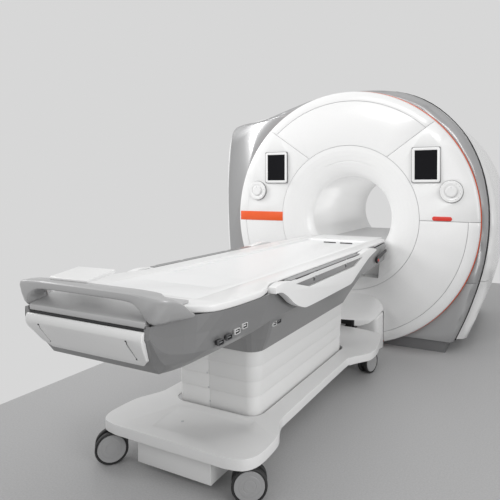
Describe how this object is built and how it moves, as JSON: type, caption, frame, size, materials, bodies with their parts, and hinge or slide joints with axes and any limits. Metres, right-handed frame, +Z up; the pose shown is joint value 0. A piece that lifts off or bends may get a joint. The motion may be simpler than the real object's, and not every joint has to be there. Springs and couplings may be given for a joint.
{
  "type": "mri scanner",
  "caption": "Wide-bore imaging magnet with a round front face and a docked, height-adjustable patient table on swivel casters; the tabletop slides into the bore.",
  "frame": {"origin": "on the floor, straight below the middle of the bore", "axes": "+Z up, +Y along the bore away from the table, +X to the right as seen from the table"},
  "size_m": [2.4994, 4.373, 2.106],
  "materials": {
    "painted_steel": "satin",
    "resin": "satin",
    "copper_resin": "satin",
    "white_cover": "satin gloss paint on fibreglass",
    "dark_plastic": "matte",
    "orange_accent": "gloss",
    "grey_cover": "satin metallic paint",
    "black_plastic": "matte",
    "bezel_plastic": "satin",
    "screen_glass": "gloss black",
    "red_label": "gloss",
    "table_white": "satin gloss",
    "tabletop_white": "fine matte",
    "grey_handle": "satin metallic paint",
    "grey_shelf": "satin",
    "bright_steel": "brushed",
    "sleeve_white": "satin",
    "base_white": "satin gloss",
    "caster_plastic": "satin",
    "tyre": "matte rubber"
  },
  "bodies": {
    "gantry": {"magnet_vessel": "painted_steel", "magnet_stand": "painted_steel", "gradient_coil": "resin", "body_coil": "copper_resin", "bore_tube": "white_cover", "bore_guide": "dark_plastic", "base_plinth": "dark_plastic", "cover_frame": "painted_steel", "front_ring": "white_cover", "accent_ring": "orange_accent", "front_panel_top": "white_cover", "front_panel_left": "white_cover", "front_panel_right": "white_cover", "front_panel_low_left": "white_cover", "front_panel_low_right": "white_cover", "front_funnel": "white_cover", "shroud_upper": "grey_cover", "shroud_lower": "grey_cover", "rear_shell": "white_cover", "rear_funnel": "white_cover", "dock_housing": "white_cover", "dock_socket": "black_plastic", "screen_bezels": "bezel_plastic", "screens": "screen_glass", "dial_bases": "white_cover", "badge_plate": "orange_accent", "pill_plate": "red_label"},
    "knob_left": {"knob_left": "bezel_plastic"},
    "knob_right": {"knob_right": "bezel_plastic"},
    "table_base": {"base_cover": "base_white", "base_chassis": "base_white", "sleeve_fixed": "sleeve_white"},
    "sleeve_low": {"sleeve_low": "sleeve_white"},
    "sleeve_high": {"sleeve_high": "sleeve_white"},
    "lift_stage": {"lift_stage": "bright_steel"},
    "table_body": {"table_frame": "painted_steel", "tabletop_drive": "dark_plastic", "table_cover": "table_white", "hull_left": "grey_cover", "hull_right": "grey_cover", "foot_handle": "grey_handle", "foot_shelf": "grey_shelf", "foot_cover": "table_white", "control_pad": "table_white", "rail_hinges": "bright_steel", "coil_sockets": "black_plastic", "sleeve_top": "sleeve_white"},
    "tabletop": {"tabletop": "tabletop_white"},
    "rail_left": {"side_rail_left": "table_white"},
    "rail_right": {"side_rail_right": "table_white"},
    "release_lever": {"release_lever": "black_plastic"},
    "stop_button": {"stop_button": "red_label"},
    "caster_front_left": {"fork_front_left": "caster_plastic"},
    "wheels_front_left": {"wheels_front_left": "tyre"},
    "caster_front_right": {"fork_front_right": "caster_plastic"},
    "wheels_front_right": {"wheels_front_right": "tyre"},
    "caster_rear_left": {"fork_rear_left": "caster_plastic"},
    "wheels_rear_left": {"wheels_rear_left": "tyre"},
    "caster_rear_right": {"fork_rear_right": "caster_plastic"},
    "wheels_rear_right": {"wheels_rear_right": "tyre"}
  },
  "joints": [
    {"name": "knob_left_turn", "type": "hinge", "parent": "gantry", "child": "knob_left", "pos_m": [-0.846, -0.833, 1.261], "axis": [0, 1, 0], "range_deg": [-40, 40], "stiffness_Nm_per_rad": 0.6},
    {"name": "knob_right_turn", "type": "hinge", "parent": "gantry", "child": "knob_right", "pos_m": [0.846, -0.833, 1.261], "axis": [0, 1, 0], "range_deg": [-40, 40], "stiffness_Nm_per_rad": 0.6},
    {"name": "dock_slide", "type": "slide", "parent": "gantry", "child": "table_base", "axis": [0, 1, 0], "range_m": [-0.6, 0]},
    {"name": "lift_slide", "type": "slide", "parent": "table_base", "child": "table_body", "axis": [0, 0, 1], "range_m": [-0.28, 0]},
    {"name": "sleeve_low_slide", "type": "slide", "parent": "table_base", "child": "sleeve_low", "axis": [0, 0, 1], "range_m": [-0.0934, 0]},
    {"name": "sleeve_high_slide", "type": "slide", "parent": "table_base", "child": "sleeve_high", "axis": [0, 0, 1], "range_m": [-0.1867, 0]},
    {"name": "lift_stage_slide", "type": "slide", "parent": "table_base", "child": "lift_stage", "axis": [0, 0, 1], "range_m": [-0.14, 0]},
    {"name": "tabletop_slide", "type": "slide", "parent": "table_body", "child": "tabletop", "axis": [0, 1, 0], "range_m": [0, 1.5]},
    {"name": "rail_left_fold", "type": "hinge", "parent": "table_body", "child": "rail_left", "pos_m": [-0.418, -2.19, 0.86], "axis": [0, 1, 0], "range_deg": [0, 170]},
    {"name": "rail_right_fold", "type": "hinge", "parent": "table_body", "child": "rail_right", "pos_m": [0.418, -2.19, 0.86], "axis": [0, -1, 0], "range_deg": [0, 170]},
    {"name": "release_lever_lift", "type": "hinge", "parent": "table_body", "child": "release_lever", "pos_m": [0.362, -1.14, 0.752], "axis": [1, 0, 0], "range_deg": [0, 25]},
    {"name": "stop_button_press", "type": "slide", "parent": "table_body", "child": "stop_button", "axis": [-1, 0, 0], "range_m": [0, 0.003], "stiffness_N_per_m": 200},
    {"name": "swivel_front_left", "type": "hinge", "parent": "table_base", "child": "caster_front_left", "pos_m": [-0.335, -2.99, 0.1], "axis": [0, 0, 1], "continuous": true},
    {"name": "roll_front_left", "type": "hinge", "parent": "caster_front_left", "child": "wheels_front_left", "pos_m": [-0.36279, -3.01877, 0.075], "axis": [-0.7193, 0.6947, 0], "continuous": true},
    {"name": "swivel_front_right", "type": "hinge", "parent": "table_base", "child": "caster_front_right", "pos_m": [0.335, -2.99, 0.1], "axis": [0, 0, 1], "continuous": true},
    {"name": "roll_front_right", "type": "hinge", "parent": "caster_front_right", "child": "wheels_front_right", "pos_m": [0.36892, -2.9688, 0.075], "axis": [0.5299, -0.848, 0], "continuous": true},
    {"name": "swivel_rear_left", "type": "hinge", "parent": "table_base", "child": "caster_rear_left", "pos_m": [-0.362, -1.42, 0.1], "axis": [0, 0, 1], "continuous": true},
    {"name": "roll_rear_left", "type": "hinge", "parent": "caster_rear_left", "child": "wheels_rear_left", "pos_m": [-0.35505, -1.38061, 0.075], "axis": [0.9848, -0.1736, 0], "continuous": true},
    {"name": "swivel_rear_right", "type": "hinge", "parent": "table_base", "child": "caster_rear_right", "pos_m": [0.362, -1.42, 0.1], "axis": [0, 0, 1], "continuous": true},
    {"name": "roll_rear_right", "type": "hinge", "parent": "caster_rear_right", "child": "wheels_rear_right", "pos_m": [0.37168, -1.38119, 0.075], "axis": [0.9703, -0.2419, 0], "continuous": true}
  ],
  "couplings": [
    {"joint": "sleeve_low_slide", "follows": "lift_slide", "ratio": 0.33333},
    {"joint": "sleeve_high_slide", "follows": "lift_slide", "ratio": 0.66667},
    {"joint": "lift_stage_slide", "follows": "lift_slide", "ratio": 0.5}
  ]
}
